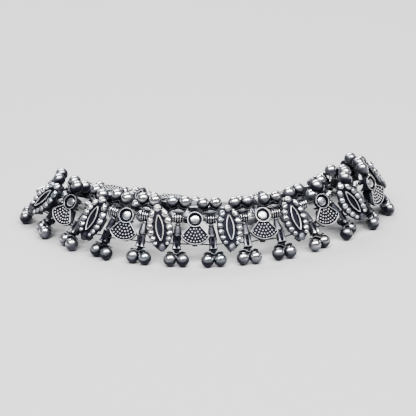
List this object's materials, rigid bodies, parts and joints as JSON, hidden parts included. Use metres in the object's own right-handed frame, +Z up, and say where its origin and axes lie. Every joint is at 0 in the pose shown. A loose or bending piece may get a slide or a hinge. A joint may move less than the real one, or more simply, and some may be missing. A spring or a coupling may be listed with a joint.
{
  "type": "chain bracelet",
  "caption": "Darkened silver chain bracelet of marquise plaques and ring-and-fan plaques between ball-ended spacer bars, lying on its edge as a flattened closed loop.",
  "frame": {"origin": "middle of the bounding box in plan, on the surface the bracelet lies on", "axes": "+X along the flattened loop, to the right seen from the front; +Y from the front stretch to the back stretch; +Z up"},
  "size_m": [0.0922, 0.0438, 0.0148],
  "materials": {
    "bar_silver": "silver darkened in the recesses and polished on the balls, drums and edges",
    "plaque_silver": "silver darkened to charcoal in the recesses and polished on the ridges, beads and discs",
    "clasp_silver": "plain silver, satin, lightly tarnished",
    "thread": "dark braided cord, matt"
  },
  "bodies": {
    "root": {"clasp": "clasp_silver", "fan_01": "plaque_silver", "fan_02": "plaque_silver", "fan_03": "plaque_silver", "fan_04": "plaque_silver", "fan_05": "plaque_silver", "fan_06": "plaque_silver", "fan_07": "plaque_silver", "fan_08": "plaque_silver", "fan_09": "plaque_silver", "fan_10": "plaque_silver", "fan_11": "plaque_silver", "lower_thread": "thread", "marquise_01": "plaque_silver", "marquise_02": "plaque_silver", "marquise_03": "plaque_silver", "marquise_04": "plaque_silver", "marquise_05": "plaque_silver", "marquise_06": "plaque_silver", "marquise_07": "plaque_silver", "marquise_08": "plaque_silver", "marquise_09": "plaque_silver", "marquise_10": "plaque_silver", "marquise_11": "plaque_silver", "spacer_01": "bar_silver", "spacer_02": "bar_silver", "spacer_03": "bar_silver", "spacer_04": "bar_silver", "spacer_05": "bar_silver", "spacer_06": "bar_silver", "spacer_07": "bar_silver", "spacer_08": "bar_silver", "spacer_09": "bar_silver", "spacer_10": "bar_silver", "spacer_11": "bar_silver", "spacer_12": "bar_silver", "spacer_13": "bar_silver", "spacer_14": "bar_silver", "spacer_15": "bar_silver", "spacer_16": "bar_silver", "spacer_17": "bar_silver", "spacer_18": "bar_silver", "spacer_19": "bar_silver", "spacer_20": "bar_silver", "spacer_21": "bar_silver", "upper_thread": "thread"}
  },
  "joints": []
}
